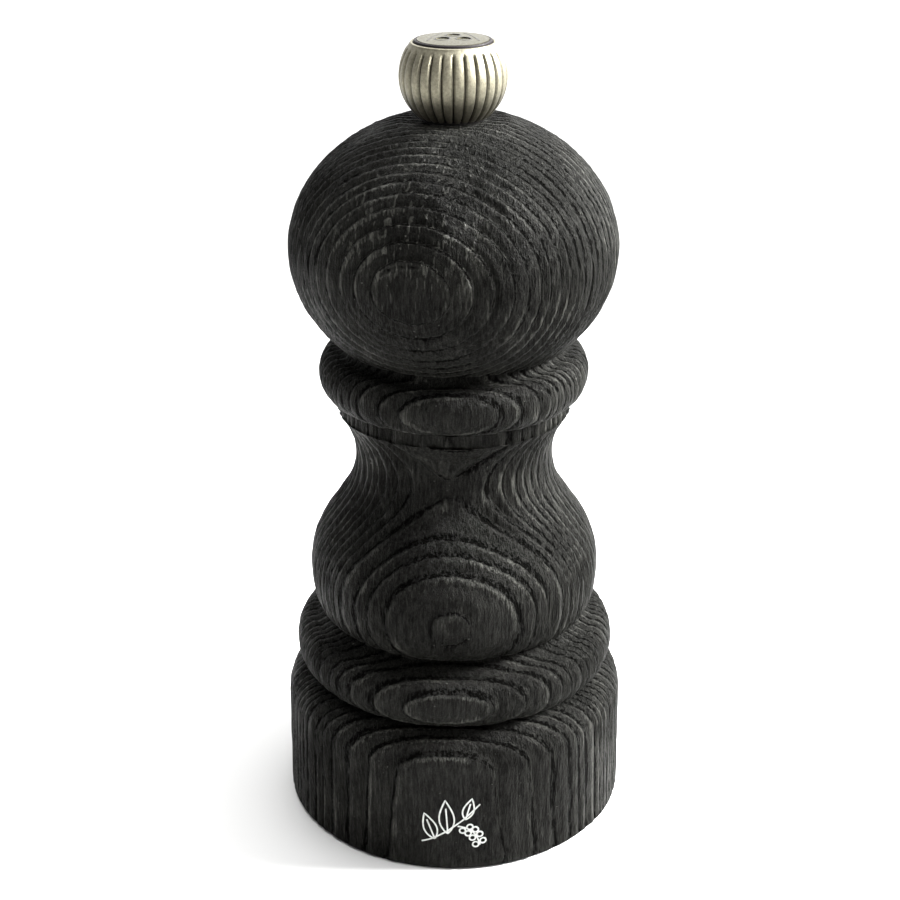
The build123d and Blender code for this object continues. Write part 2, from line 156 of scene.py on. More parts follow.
# Wood: growth layers are nearly flat and upright. turn and tip, in degrees, swing their normal
# from the front (-Y) towards +X and tip it up about the height level. wander is how far they
# wave, groove is how wide the brush cut each one, and edges are the depths of the first ones.
BODY_LAYERS = {"turn": -2.1, "tip": -1.0, "level": 40.0, "wander": 0.4, "seed": 4, "groove": 1.5,
               "edges": (28.6, 26.1, 24.3, 22.36, 20.05, 18.45, 17.1, 14.8)}
HEAD_LAYERS = {"turn": -14.0, "tip": 2.5, "level": BALL_Z, "wander": 0.4, "seed": 9, "groove": 0.7,
               "edges": (25.0, 23.5, 22.7, 21.6, 20.2, 18.9, 17.6, 16.4, 15.0)}
LAYER_WIDTHS = (1.05, 1.9)  # least and most, for layers deeper than the given edges
LAYERS_END = -32.2          # depth behind all the wood
RELIEF = 0.30               # height of the brushed-out growth rings
PLATEAU = 0.55              # share of that height at which the middle of a ring lies
STREAKS = (                 # height, scale across and along the fibres, and shift
    (0.09, 0.9, 0.10, 0.0),
    (0.06, 1.9, 0.25, 40.0),
)
# Middle, spread and least share of the raised fibres, whose lighter colour is a painted highlight.
SCUFF_AND_GLINT_AT = (-5.0, -20.0, 101.0)
SCUFF_AND_GLINT_SPREAD = 11.0
SCUFF_AND_GLINT_LEAST = 0.15
WOOD_COLUMNS = 400
WOOD_SEAM = 0.003           # angle of the first column, in radians
BODY_SPACING = 0.46         # between rows of points
HEAD_SPACING = 0.30
SOFT_ROWS = 4.0             # rows at each end over which the relief dies out
HIDDEN_GROOVE = 0.3         # groove's share of a ring on faces that have no relief

CAMERA_AT = (-0.6, -239.3, 165.9)
CAMERA_PITCH = 24.13        # degrees below the horizon
CAMERA_ROLL = -0.17
CAMERA_LENS = 67.94
SENSOR = 36.0
CEILING = 0.03              # brightness of the dark ceiling
WALLS = 0.97                # and of the walls
SCREEN = 3.3                # and of the soft screen
SCREEN_TOWARD = (0.40, 0.50, 0.77)  # its direction: +X, back and up
FLOOR_HALF = 6.0            # in metres


# ---- scene -------------------------------------------------------------------------------

def add_object(name, data):
    obj = bpy.data.objects.new(name, data)
    bpy.context.scene.collection.objects.link(obj)
    return obj


def make_camera():
    data = bpy.data.cameras.new("camera")
    data.lens = CAMERA_LENS
    data.sensor_width = SENSOR
    data.clip_start = 0.01
    data.clip_end = 20.0
    camera = add_object("camera", data)
    tilt = Matrix.Rotation(math.radians(90.0 - CAMERA_PITCH), 4, "X")
    roll = Matrix.Rotation(math.radians(CAMERA_ROLL), 4, "Z")
    camera.matrix_world = Matrix.Translation(Vector(CAMERA_AT) * MM) @ tilt @ roll
    bpy.context.scene.camera = camera


def add_light(name, azimuth, elevation, distance, size, power, aim, spread):
    """Soft box aimed at a height on the mill's axis. Azimuth 0 is the front, and 90 the right (+X).

    A grid keeps its light within spread degrees.
    """
    target = Vector((0.0, 0.0, aim * MM))
    a, e = math.radians(azimuth), math.radians(elevation)
    toward = Vector((math.sin(a) * math.cos(e), -math.cos(a) * math.cos(e), math.sin(e)))
    data = bpy.data.lights.new(name, "AREA")
    data.shape = "RECTANGLE"
    data.size, data.size_y = size
    data.energy = power
    data.spread = math.radians(spread)
    light = add_object(name, data)
    light.location = target + toward * distance
    light.rotation_euler = toward.to_track_quat("Z", "Y").to_euler()


bpy.context.scene.view_settings.view_transform = "Standard"
make_camera()


# ---- material helpers --------------------------------------------------------------------

class Value:
    """A number in a shader: arithmetic on it adds Math nodes."""

    def __init__(self, tree, socket):
        self.tree = tree
        self.socket = socket

    def math(self, operation, *others, clamp=False):
        node = self.tree.nodes.new("ShaderNodeMath")
        node.operation = operation
        node.use_clamp = clamp
        for slot, item in zip(node.inputs, (self, *others)):
            if isinstance(item, Value):
                self.tree.links.new(item.socket, slot)
            else:
                slot.default_value = item
        return Value(self.tree, node.outputs[0])

    def __add__(self, other):
        return self.math("ADD", other)

    def __sub__(self, other):
        return self.math("SUBTRACT", other)

    def __mul__(self, other):
        return self.math("MULTIPLY", other)

    def fraction(self):
        return self.math("FRACT")

    def smooth(self, low, high, to_low=0.0, to_high=1.0):
        """Smooth step from to_low at low to to_high at high."""
        node = self.tree.nodes.new("ShaderNodeMapRange")
        node.interpolation_type = "SMOOTHSTEP"
        self.tree.links.new(self.socket, node.inputs["Value"])
        limits = {"From Min": low, "From Max": high, "To Min": to_low, "To Max": to_high}
        for key, item in limits.items():
            node.inputs[key].default_value = item
        return Value(self.tree, node.outputs["Result"])


class Shader:
    """A material with one Principled BSDF, and short calls for the nodes that feed it."""

    def __init__(self, name, **sockets):
        self.material = bpy.data.materials.new(name)
        self.material.use_nodes = True
        self.tree = self.material.node_tree
        self.bsdf = self.tree.nodes["Principled BSDF"]
        self.coordinates = self.tree.nodes.new("ShaderNodeTexCoord").outputs["Object"]
        for key, item in sockets.items():
            self.bsdf.inputs[key.replace("_", " ")].default_value = item

    def noise(self, scale, detail=2.0, roughness=0.5, stretch=(1.0, 1.0, 1.0), at=(0, 0, 0)):
        """Noise with features about 1/scale mm wide; stretch lengthens them along an axis."""
        mapping = self.tree.nodes.new("ShaderNodeMapping")
        mapping.inputs["Scale"].default_value = [scale / MM / s for s in stretch]
        mapping.inputs["Location"].default_value = at
        self.tree.links.new(self.coordinates, mapping.inputs["Vector"])
        node = self.tree.nodes.new("ShaderNodeTexNoise")
        node.inputs["Scale"].default_value = 1.0
        node.inputs["Detail"].default_value = detail
        node.inputs["Roughness"].default_value = roughness
        self.tree.links.new(mapping.outputs["Vector"], node.inputs["Vector"])
        return Value(self.tree, node.outputs["Fac"])

    def attribute(self, name):
        node = self.tree.nodes.new("ShaderNodeAttribute")
        node.attribute_name = name
        return Value(self.tree, node.outputs["Fac"])

    def ramp(self, factor, *stops):
        """Colour ramp: stops are (position, (r, g, b))."""
        node = self.tree.nodes.new("ShaderNodeValToRGB")
        elements = node.color_ramp.elements
        while len(elements) < len(stops):
            elements.new(0.5)
        for element, (position, colour) in zip(elements, stops):
            element.position = position
            element.color = (*colour, 1.0)
        self.tree.links.new(factor.socket, node.inputs["Fac"])
        return node.outputs["Color"]

    def link(self, item, name):
        self.tree.links.new(item.socket if isinstance(item, Value) else item, self.bsdf.inputs[name])

    def bump(self, height, distance):
        """distance is the height in millimetres that a height of 1 stands for."""
        node = self.tree.nodes.new("ShaderNodeBump")
        node.inputs["Strength"].default_value = 1.0
        node.inputs["Distance"].default_value = distance * MM
        self.tree.links.new(height.socket, node.inputs["Height"])
        self.tree.links.new(node.outputs["Normal"], self.bsdf.inputs["Normal"])


# ---- light -------------------------------------------------------------------------------

def make_world():
    """Studio with pale walls low down and a dark ceiling, lit by a wide soft screen.

    The screen is above and behind the mill, on its right.
    """
    world = bpy.data.worlds.new("studio")
    bpy.context.scene.world = world
    world.use_nodes = True
    tree = world.node_tree
    direction = tree.nodes.new("ShaderNodeTexCoord").outputs["Generated"]
    split = tree.nodes.new("ShaderNodeSeparateXYZ")
    tree.links.new(direction, split.inputs[0])
    right, back, up = (Value(tree, split.outputs[axis]) for axis in "XYZ")
    toward = right * SCREEN_TOWARD[0] + back * SCREEN_TOWARD[1] + up * SCREEN_TOWARD[2]
    strength = toward.smooth(0.05, 0.85, 0.0, SCREEN) * up.smooth(-0.05, 0.10)
    walls = up.smooth(0.16, 0.30, WALLS, 0.0)
    strength = strength.math("MAXIMUM", walls) + CEILING
    background = tree.nodes["Background"]
    background.inputs["Color"].default_value = (1.0, 1.0, 1.0, 1.0)
    tree.links.new(strength.socket, background.inputs["Strength"])


make_world()
add_light("key", azimuth=98.0, elevation=32.0, distance=0.75, size=(0.30, 0.30), power=2.8,
          aim=75.0, spread=30.0)
add_light("knob_light", azimuth=52.0, elevation=26.0, distance=0.60, size=(0.05, 0.05), power=0.015,
          aim=KNOB_Z, spread=6.0)


# ---- mesh helpers ------------------------------------------------------------------------

def line(start, end):
    return [start, end]


def ellipse(centre, radii, start, end, steps=48):
    """Points on an ellipse from one angle to another, in degrees; 0 is outward, 90 is up."""
    points = []
    for i in range(steps + 1):
        a = math.radians(start + (end - start) * i / steps)
        points.append((centre[0] + radii[0] * math.cos(a), centre[1] + radii[1] * math.sin(a)))
    return points


def tangent_arc(start, end, steps=24):
    """Arc that leaves start straight up or down the axis and ends at end."""
    dx, dz = end[0] - start[0], end[1] - start[1]
    radius = (dx * dx + dz * dz) / (2.0 * dx)
    sweep = math.atan2(dz, radius - dx)
    points = []
    for i in range(steps + 1):
        a = sweep * i / steps
        points.append((start[0] + radius * (1.0 - math.cos(a)), start[1] + radius * math.sin(a)))
    return points


def resample(points, spacing):
    """Even points along an outline, about spacing apart; sharp corners are kept."""
    points = [p for i, p in enumerate(points) if i == 0 or math.dist(p, points[i - 1]) > 1e-6]
    corners = [0]
    for i in range(1, len(points) - 1):
        a = math.atan2(points[i][1] - points[i - 1][1], points[i][0] - points[i - 1][0])
        b = math.atan2(points[i + 1][1] - points[i][1], points[i + 1][0] - points[i][0])
        if abs((b - a + math.pi) % (2.0 * math.pi) - math.pi) > math.radians(20.0):
            corners.append(i)
    corners.append(len(points) - 1)
    even = [points[0]]
    for first, last in zip(corners, corners[1:]):
        run = np.array(points[first:last + 1])
        along = np.concatenate(([0.0], np.cumsum(np.linalg.norm(np.diff(run, axis=0), axis=1))))
        count = max(1, round(along[-1] / spacing))
        places = np.linspace(0.0, along[-1], count + 1)[1:]
        even += list(zip(np.interp(places, along, run[:, 0]), np.interp(places, along, run[:, 1])))
    return even


def mesh_object(name, vertices, faces, material, sharp=40.0):
    mesh = bpy.data.meshes.new(name)
    mesh.from_pydata([tuple(v) for v in np.asarray(vertices) * MM], [], faces)
    mesh.validate()
    mesh.shade_smooth()
    mesh.set_sharp_from_angle(angle=math.radians(sharp))
    mesh.materials.append(material)
    return add_object(name, mesh)


def lathe(outline, angles):
    """Vertices (rows x columns x 3) of an outline of (radius, height) turned to each angle."""
    outline = np.array(outline)
    a = np.asarray(angles)[None, :]
    radius = outline[:, :1]
    x = radius * np.cos(a)
    y = radius * np.sin(a)
    z = np.broadcast_to(outline[:, 1:], x.shape)
    return np.stack((x, y, z), axis=-1)


def lathe_faces(rows, columns, closed):
    """Quads of a turned surface; a closed outline joins its last row to its first."""
    faces = []
    for i in range(rows if closed else rows - 1):
        below, above = i * columns, ((i + 1) % rows) * columns
        for j in range(columns):
            k = (j + 1) % columns
            faces.append((below + j, below + k, above + k, above + j))
    return faces


def outline_normals(outline):
    """Outward unit normals (radial, up) along an open outline drawn upward."""
    outline = np.array(outline)
    step = np.gradient(outline, axis=0)
    normal = np.stack((step[:, 1], -step[:, 0]), axis=1)
    return normal / np.linalg.norm(normal, axis=1, keepdims=True)


# ---- floor -------------------------------------------------------------------------------

def make_floor():
    shader = Shader("floor_paper", Base_Color=(0.69, 0.69, 0.685, 1.0), Roughness=0.75)
    shader.link(shader.noise(0.01, detail=1.0).smooth(0.0, 1.0, 0.7, 0.8), "Roughness")
    mesh = bpy.data.meshes.new("floor")
    corners = [(FLOOR_HALF * x, FLOOR_HALF * y, 0.0) for x, y in ((-1, -1), (1, -1), (1, 1), (-1, 1))]
    mesh.from_pydata(corners, [], [(0, 1, 2, 3)])
    mesh.materials.append(shader.material)
    add_object("floor", mesh)


make_floor()


# ---- wood --------------------------------------------------------------------------------

def wood_material():
    """Black-stained, wire-brushed ring-porous wood.

    Attribute ring counts the growth layers, groove is the share of each that the brush cut, and
    scuff is where the brush left raised fibres, which get a painted highlight. The colour holds
    painted light too: partly painted shade in the pores and early-wood grooves, and a partly
    painted highlight on the ring crests.
    """
    shader = Shader("black_wood")
    fibre = shader.noise(2.2, detail=3.0, roughness=0.65, stretch=(1, 1, 9)).smooth(0.30, 0.70)
    strand = shader.noise(4.5, detail=2.0, roughness=0.6, stretch=(1, 1, 6), at=(3, 1, 7))
    strand = strand.smooth(0.30, 0.70)
    grit = shader.noise(6.0, detail=2.0, roughness=0.7, stretch=(1, 1, 1.4), at=(5, 2, 1))
    grit = grit.smooth(0.3, 0.7)
    # Dashes of raised fibre: their bump is real, and their lighter colour is a painted highlight.
    dash = shader.noise(1.6, detail=1.0, stretch=(1, 1, 5.0), at=(9, 3, 2)).smooth(0.60, 0.67)
    dash = dash * shader.attribute("scuff_and_glint")
    pore = shader.noise(1.7, detail=3.0, roughness=0.7, stretch=(1, 1, 4.5), at=(2, 8, 4))
    patch = shader.noise(0.10, detail=2.0, at=(1, 4, 2)).smooth(0.3, 0.7)
    speck = shader.noise(2.4, detail=0.0, at=(7, 7, 3)).smooth(0.86, 0.88)
    groove = shader.attribute("groove")
    ring = (shader.attribute("ring") + (fibre * 0.30 + pore * 0.50) * groove).fraction()
    early = ring.smooth(0.0, 0.03) * (ring - groove).smooth(-0.10, 0.04, 1.0, 0.0)
    # Lighter ring crests: partly worn stain, partly a painted highlight along the ridges.
    crest = (ring + groove * 0.45).smooth(0.93, 1.0) * ring.smooth(0.95, 1.0, 1.0, 0.0)
    crest = crest * (patch.smooth(0.25, 0.85) * 0.9 + strand * 0.2)
    pit = pore.smooth(0.42, 0.53) * (early * 0.92 + 0.08)
    height = fibre * 0.11 + strand * 0.08 + grit * 0.06 + dash * 0.26
    shader.bump(height - pit * 0.32, 1.0)
    tone = fibre * 0.26 + strand * 0.20 + crest * 0.30 + dash * 0.55 + patch * 0.14 + grit * 0.22
    # Darker pores and early-wood grooves: partly their own dark stain, partly painted shade in the
    # hollows.
    tone = tone * (pit * -0.85 + 1.0) * (early * -0.20 + 1.0) + speck * 0.8
    shader.link(shader.ramp(
        tone, (0.0, (0.0007, 0.0007, 0.0006)), (0.35, (0.0045, 0.0045, 0.0038)),
        (0.65, (0.0110, 0.0110, 0.0093)), (1.0, (0.0430, 0.0430, 0.0370))), "Base Color")
    shader.link(grit.smooth(0.0, 1.0, 0.42, 0.62), "Roughness")
    shader.link(tone * 0.11, "Specular IOR Level")
    return shader.material


def layer_edges(layers):
    """Depths of the growth-ring boundaries, from the front to the back of the wood."""
    pick = random.Random(layers["seed"])
    edges = list(layers["edges"])
    while edges[-1] > LAYERS_END:
        edges.append(edges[-1] - pick.uniform(*LAYER_WIDTHS))
    return edges


def wander(points, scale=0.07, shift=0.0):
    """Slow waviness of the growth layers, between about -0.5 and 0.5."""
    flat = points.reshape(-1, 3)
    wave = [noise.noise(Vector((scale * x + shift, scale * y, 0.5 * scale * z))) for x, y, z in flat]
    return np.array(wave).reshape(points.shape[:-1])


def ring_count(points, layers):
    """Growth layers between the wood's front and each point, as a continuous number."""
    turn, tip = math.radians(layers["turn"]), math.radians(layers["tip"])
    x, y, z = points[..., 0], points[..., 1], points[..., 2]
    depth = x * math.sin(turn) * math.cos(tip) - y * math.cos(turn) * math.cos(tip)
    depth = depth + (z - layers["level"]) * math.sin(tip)
    depth = depth + layers["wander"] * wander(points)
    edges = layer_edges(layers)
    return np.interp(depth, edges[::-1], np.arange(len(edges), 0, -1.0))


def rise(part, low, high):
    t = np.clip((part - low) / (high - low), 0.0, 1.0)
    return t * t * (3.0 - 2.0 * t)


def groove_share(count, spacing, radius, width):
    """Share of each growth ring that a groove of the given width takes up at every point."""
    up = np.gradient(count, axis=0) / spacing
    pitch = 2.0 * math.pi * np.maximum(radius, 1.0) / WOOD_COLUMNS
    around = (np.roll(count, -1, axis=1) - np.roll(count, 1, axis=1)) / (2.0 * pitch)
    return np.clip(width * np.hypot(up, around), 0.06, 0.42)


def relief(count, fade, groove):
    """Height of the brushed surface from the turned outline, in millimetres: 0 or below.

    From each ring's edge the soft early wood is a groove, which rises to a plateau and then to
    the rounded crest of hard late wood.
    """
    part = count - np.floor(count)
    plateau = PLATEAU * rise(part, 0.4 * groove, groove)
    crest = (1.0 - PLATEAU) * rise(part, 1.0 - 1.5 * groove, 1.0 - 0.9 * groove)
    drop = 1.0 - rise(part, 1.0 - 0.5 * groove, 1.0)
    return RELIEF * fade * ((plateau + crest) * drop - 1.0)


def relief_fade(count, grid):
    """How deep the relief is: less where layers lie close on the surface, and in slow patches."""
    step = np.maximum(np.abs(np.gradient(count, axis=0)), np.abs(np.roll(count, 1, axis=1) - count))
    patches = wander(grid, scale=0.13, shift=60.0)
    return np.clip(1.8 - 3.6 * step, 0.3, 1.4) * np.clip(0.8 + 1.6 * patches, 0.25, 1.25)


def brushed(points):
    """Streaks that follow the upright fibres, in millimetres."""
    flat = points.reshape(-1, 3)
    streak = [
        sum(height * noise.noise(Vector((across * x, across * y, along * z + shift)))
            for height, across, along, shift in STREAKS)
        for x, y, z in flat
    ]
    return np.array(streak).reshape(points.shape[:-1])


def scuffed_and_glinting(points):
    """Where the brush raised the fibres, whose lighter colour is a painted highlight: most in front, above
    the head's bull's-eye.
    """
    away = np.linalg.norm(points - np.array(SCUFF_AND_GLINT_AT), axis=-1)
    return SCUFF_AND_GLINT_LEAST + (1.0 - SCUFF_AND_GLINT_LEAST) * np.exp(-((away / SCUFF_AND_GLINT_SPREAD) ** 2))


def store(obj, name, values):
    attribute = obj.data.attributes.new(name, "FLOAT", "POINT")
    attribute.data.foreach_set("value", values.astype(np.float32))


def turned_wood(name, outside, inside, layers, spacing):
    """Lathe-turned piece. Only the outside, drawn upward, gets the brushed relief."""
    outside = np.array(resample(outside, spacing))
    angles = np.linspace(0.0, 2.0 * math.pi, WOOD_COLUMNS, endpoint=False) + WOOD_SEAM
    grid = lathe(outside, angles)
    count = ring_count(grid, layers)
    groove = groove_share(count, spacing, outside[:, :1], layers["groove"])
    ends = np.minimum(np.arange(len(outside)), np.arange(len(outside))[::-1])
    soft = np.clip(ends / SOFT_ROWS, 0.0, 1.0)[:, None]
    out = (relief(count, relief_fade(count, grid), groove) + brushed(grid)) * soft
    normal = outline_normals(outside)
    grid[..., 0] += out * normal[:, :1] * np.cos(angles)
    grid[..., 1] += out * normal[:, :1] * np.sin(angles)
    grid[..., 2] += out * normal[:, 1:]
    hidden = lathe(inside, angles)
    vertices = np.concatenate((grid, hidden)).reshape(-1, 3)
    faces = lathe_faces(len(outside) + len(inside), WOOD_COLUMNS, closed=True)
    obj = mesh_object(name, vertices, faces, WOOD)
    store(obj, "ring", ring_count(vertices, layers))
    store(obj, "scuff_and_glint", scuffed_and_glinting(vertices))
    plain = np.full(hidden.shape[:2], HIDDEN_GROOVE)
    store(obj, "groove", np.concatenate((groove, plain)).reshape(-1))
    return obj


def body_outline():
    shoulder_top = BEAD_Z - BEAD_HALF - CREASE
    neck_centre = (NECK_RADIUS + NECK_ARC, NECK_Z)
    belly_centre = (BELLY_RADIUS - BELLY_ARC, BELLY_Z)
    total = BELLY_ARC + NECK_ARC
    across = neck_centre[0] - belly_centre[0]
    up = NECK_Z - BELLY_Z
    flank = math.degrees(math.atan2(up, across) - math.acos(total / math.hypot(across, up)))
    neck_end = -math.degrees(math.asin((NECK_TOP - NECK_Z) / NECK_ARC))
    return (
        line((FOOT_RADIUS - EDGE, 0.0), (FOOT_RADIUS, EDGE))
        + line((FOOT_RADIUS, EDGE), (SHOULDER_RADIUS, SHOULDER_Z))
        + ellipse((BEAD_CORE, SHOULDER_Z),
                  (SHOULDER_RADIUS - BEAD_CORE, shoulder_top - SHOULDER_Z), 0, 90)
        + ellipse((BEAD_CORE, BEAD_Z), (BEAD_OUT, BEAD_HALF), -90, 90)
        + line((GROOVE_RADIUS, GROOVE_BOTTOM), (GROOVE_RADIUS, GROOVE_TOP))
        + ellipse((BELLY_RADIUS - BELLY_CURL, BELLY_Z), (BELLY_CURL, BELLY_Z - GROOVE_TOP), -90, 0)
        + ellipse(belly_centre, (BELLY_ARC, BELLY_ARC), 0, flank)
        + ellipse(neck_centre, (NECK_ARC, NECK_ARC), 180 + flank, 180 + neck_end)
        + line((BAND_RADIUS, NECK_TOP), (BAND_RADIUS, COLLAR_Z - COLLAR_HALF))
        + ellipse((COLLAR_CORE, COLLAR_Z), (COLLAR_OUT, COLLAR_HALF), -90, 90)
        + tangent_arc((SEAT_RADIUS, BODY_TOP), (COLLAR_CORE, COLLAR_Z + COLLAR_HALF))[::-1]
    )


def make_body():
    inside = [
        (CHAMBER_RADIUS + EDGE, BODY_TOP), (CHAMBER_RADIUS, BODY_TOP - EDGE),
        (CHAMBER_RADIUS, INNER_RING), (CHAMBER_RADIUS, GRINDER_BORE_TOP),
        (GRINDER_BORE, GRINDER_BORE_TOP),
        (GRINDER_BORE, RECESS_DEPTH), (RECESS_RADIUS, RECESS_DEPTH), (RECESS_RADIUS, EDGE),
        (RECESS_RADIUS + EDGE, 0.0),
    ]
    body = turned_wood("wood_body", body_outline(), inside, BODY_LAYERS, BODY_SPACING)
    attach(body, "mill_body")
    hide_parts("wooden_body")
    return body


def head_outline():
    low = math.degrees(math.asin((HEAD_BOTTOM + EDGE - BALL_Z) / BALL_HALF_HEIGHT))
    high = math.degrees(math.asin((HEAD_TOP - BALL_Z) / BALL_HALF_HEIGHT))
    ball = ellipse((0.0, BALL_Z), (BALL_RADIUS, BALL_HALF_HEIGHT), low, high, steps=160)
    foot = line((ball[0][0] - EDGE, HEAD_BOTTOM), ball[0])
    return foot + ball + line(ball[-1], (HEAD_BORE + BORE_EDGE, HEAD_TOP))


def make_head():
    inside = [
        (HEAD_BORE, HEAD_TOP - BORE_EDGE), (HEAD_BORE, BORE_RING), (HEAD_BORE, TENON_END),
        (TENON_RADIUS - EDGE, TENON_END), (TENON_RADIUS, TENON_END + EDGE),
        (TENON_RADIUS, HEAD_BOTTOM),
    ]
    head = turned_wood("wood_head", head_outline(), inside, HEAD_LAYERS, HEAD_SPACING)
    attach(head, "head")
    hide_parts("wooden_head")


WOOD = wood_material()
wood_body = make_body()
make_head()


# ---- knob --------------------------------------------------------------------------------

def knob_material():
    """Cast pewter, with painted shade: darker down in the flutes, and towards the foot, where it stands
    for the dark wood reflected there.
    """
    shader = Shader("pewter", Metallic=0.8, Roughness=0.5)
    cast = shader.noise(2.2, detail=3.0, roughness=0.6)
    grit = shader.noise(9.0, detail=2.0, at=(4, 4, 1))
    shader.bump(cast * 0.5 + grit * 0.6, 0.04)
    mottle_and_shade = cast.smooth(0.30, 0.75, 0.62, 1.0) + grit.smooth(0.3, 0.7, -0.08, 0.08)
    # Painted shade down in the flutes and towards the foot.
    mottle_and_shade = mottle_and_shade * (shader.attribute("recess") * -0.85 + 1.0)
    mottle_and_shade = mottle_and_shade * (shader.attribute("low") * -0.55 + 1.0)
    shader.link(shader.ramp(
        mottle_and_shade, (0.0, (0.004, 0.0035, 0.0025)), (1.0, (0.240, 0.224, 0.164))), "Base Color")
    shader.link(grit.smooth(0.3, 0.7, 0.42, 0.56), "Roughness")
    return shader.material


def knob_outline():
    """Side from the foot up, rounded rim, and the edge of the pocket for the cap's ring."""
    top = math.degrees(math.asin((FLUTE_TOP + FLUTE_FADE - KNOB_Z) / KNOB_ARC))
    foot = math.degrees(math.asin((KNOB_FOOT_Z - KNOB_Z) / KNOB_ARC))
    side = ellipse((KNOB_RADIUS - KNOB_ARC, KNOB_Z), (KNOB_ARC, KNOB_ARC), foot, top, steps=56)
    rim = (CAP_RING_RADIUS + KNOB_RIM, KNOB_TOP - KNOB_RIM_DROP)
    pocket = line((rim[0] - 0.1, KNOB_TOP), (CAP_RING_RADIUS + SLACK, KNOB_TOP - 0.1))
    return side + ellipse(rim, (KNOB_RIM, KNOB_RIM_DROP), 0, 90, steps=5) + pocket


def flute(angle, z):
    """Depth of the V-shaped flutes, which die out just under the rim."""
    pitch = 2.0 * math.pi / KNOB_FLUTES
    off = np.abs((angle + pitch / 2.0) % pitch - pitch / 2.0) * KNOB_RADIUS
    across = np.clip(1.0 - off / FLUTE_HALF_WIDTH, 0.0, 1.0)
    along = np.clip((FLUTE_TOP - z) / FLUTE_FADE, 0.0, 1.0)
    return FLUTE_DEPTH * across * along


def make_knob():
    outline = np.array(knob_outline())
    pitch = 2.0 * math.pi / KNOB_FLUTES
    half = FLUTE_HALF_WIDTH / KNOB_RADIUS
    across_flute = [half * t for t in (-1.0, -0.7, -0.4, -0.15, 0.0, 0.15, 0.4, 0.7, 1.0)]
    across_rib = [half + (pitch - 2.0 * half) * t for t in (0.1, 0.3, 0.5, 0.7, 0.9)]
    angles = np.array([i * pitch + t for i in range(KNOB_FLUTES) for t in across_flute + across_rib])
    grid = lathe(outline, angles)
    depth = flute(angles[None, :], grid[..., 2])
    rib = np.clip(1.0 - np.abs((angles % pitch) - pitch / 2.0) / (pitch / 2.0 - half), 0.0, 1.0)
    crown = RIB_CROWN * (1.0 - (1.0 - rib[None, :]) ** 2)
    crown = crown * np.clip((FLUTE_TOP - grid[..., 2]) / FLUTE_FADE, 0.0, 1.0)
    normal = outline_normals(outline)
    shift = crown - depth
    grid[..., 0] += shift * normal[:, :1] * np.cos(angles)
    grid[..., 1] += shift * normal[:, :1] * np.sin(angles)
    grid[..., 2] += shift * normal[:, 1:]
    bore = SPINDLE_SQUARE / 2.0 + BORE_CLEARANCE
    inside = [
        (CAP_RING_RADIUS + SLACK, CAP_FLOOR), (POLE, CAP_FLOOR), (POLE, BORE_POINT), (bore, BORE_TOP),
        (bore, KNOB_FOOT_Z + BORE_CHAMFER), (bore + BORE_CHAMFER, KNOB_FOOT_Z),
    ]
    vertices = np.concatenate((grid, lathe(inside, angles))).reshape(-1, 3)
    faces = lathe_faces(len(outline) + len(inside), len(angles), closed=True)
    knob = mesh_object("fluted_knob", vertices, faces, knob_material(), sharp=35.0)
    hidden = np.zeros((len(inside), len(angles)))
    # Masks for the knob's painted shade: depth in the flutes, and nearness to the foot.
    store(knob, "recess", np.concatenate(((depth / FLUTE_DEPTH) ** 2, hidden)).reshape(-1))
    store(knob, "low", rise(-vertices[:, 2], -(KNOB_Z - 0.5), -(KNOB_Z - 3.5)))
    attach(knob, "knob")
    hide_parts("knob")


def turned_piece(name, outline, body, node, material, columns=128):
    """Small turned piece from a closed outline, standing for one CAD node."""
    angles = np.linspace(0.0, 2.0 * math.pi, columns, endpoint=False)
    vertices = lathe(outline, angles).reshape(-1, 3)
    piece = mesh_object(name, vertices, lathe_faces(len(outline), columns, closed=True), material)
    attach(piece, body)
    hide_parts(node)


def make_cap_ring():
    shader = Shader("black_ring", Roughness=0.5, Base_Color=(0.010, 0.008, 0.009, 1.0),
                    Specular_IOR_Level=0.12)
    dust = shader.noise(6.0, detail=2.0)
    shader.bump(dust, 0.01)
    shader.link(dust.smooth(0.3, 0.7, 0.45, 0.60), "Roughness")
    inner = CAP_RADIUS + SLACK
    outer = CAP_RING_RADIUS
    outline = (
        line((inner, CAP_FLOOR), (outer, CAP_FLOOR))
        + [(outer - RING_EDGE, KNOB_TOP)]
        + ellipse((inner + RING_FLAT, KNOB_TOP + RING_SIDE),
                  (outer - RING_EDGE - inner - RING_FLAT, CAP_RING_TOP - KNOB_TOP - RING_SIDE), 10, 90, 12)
        + [(inner + RING_EDGE, CAP_RING_TOP - 0.02), (inner, CAP_RING_TOP - 0.08)]
    )
    turned_piece("cap_ring", outline, "knob", "knob_cap_ring", shader.material)


make_knob()
make_cap_ring()


# ---- marks -------------------------------------------------------------------------------

def bend(start, middle, end, steps=14):
    """Curve from start to end that leans towards middle."""
    a, b, c = np.array(start), np.array(middle), np.array(end)
    places = np.linspace(0.0, 1.0, steps + 1)
    return [(1 - t) ** 2 * a + 2 * t * (1 - t) * b + t * t * c for t in places]


def ring_stroke(centre, radius, steps=18):
    turns = [math.radians(360.0 * i / steps) for i in range(steps + 1)]
    return [np.array(centre) + radius * np.array((math.cos(t), math.sin(t))) for t in turns]


def leaf(base, tip, width):
    """Outline of a leaf, out along one side and back along the other, and its middle rib."""
    base, tip = np.array(base), np.array(tip)
    along = tip - base
    side = np.array((-along[1], along[0])) / np.linalg.norm(along)
    places = np.linspace(0.0, 1.0, 13)
    swell = width * np.sin(math.pi * places ** 0.8)
    left = [base + along * t + side * w for t, w in zip(places, swell)]
    right = [base + along * t - side * w for t, w in zip(places, swell)]
    return [left + right[::-1][1:], [base + along * t for t in np.linspace(0.0, 0.75, 8)]]


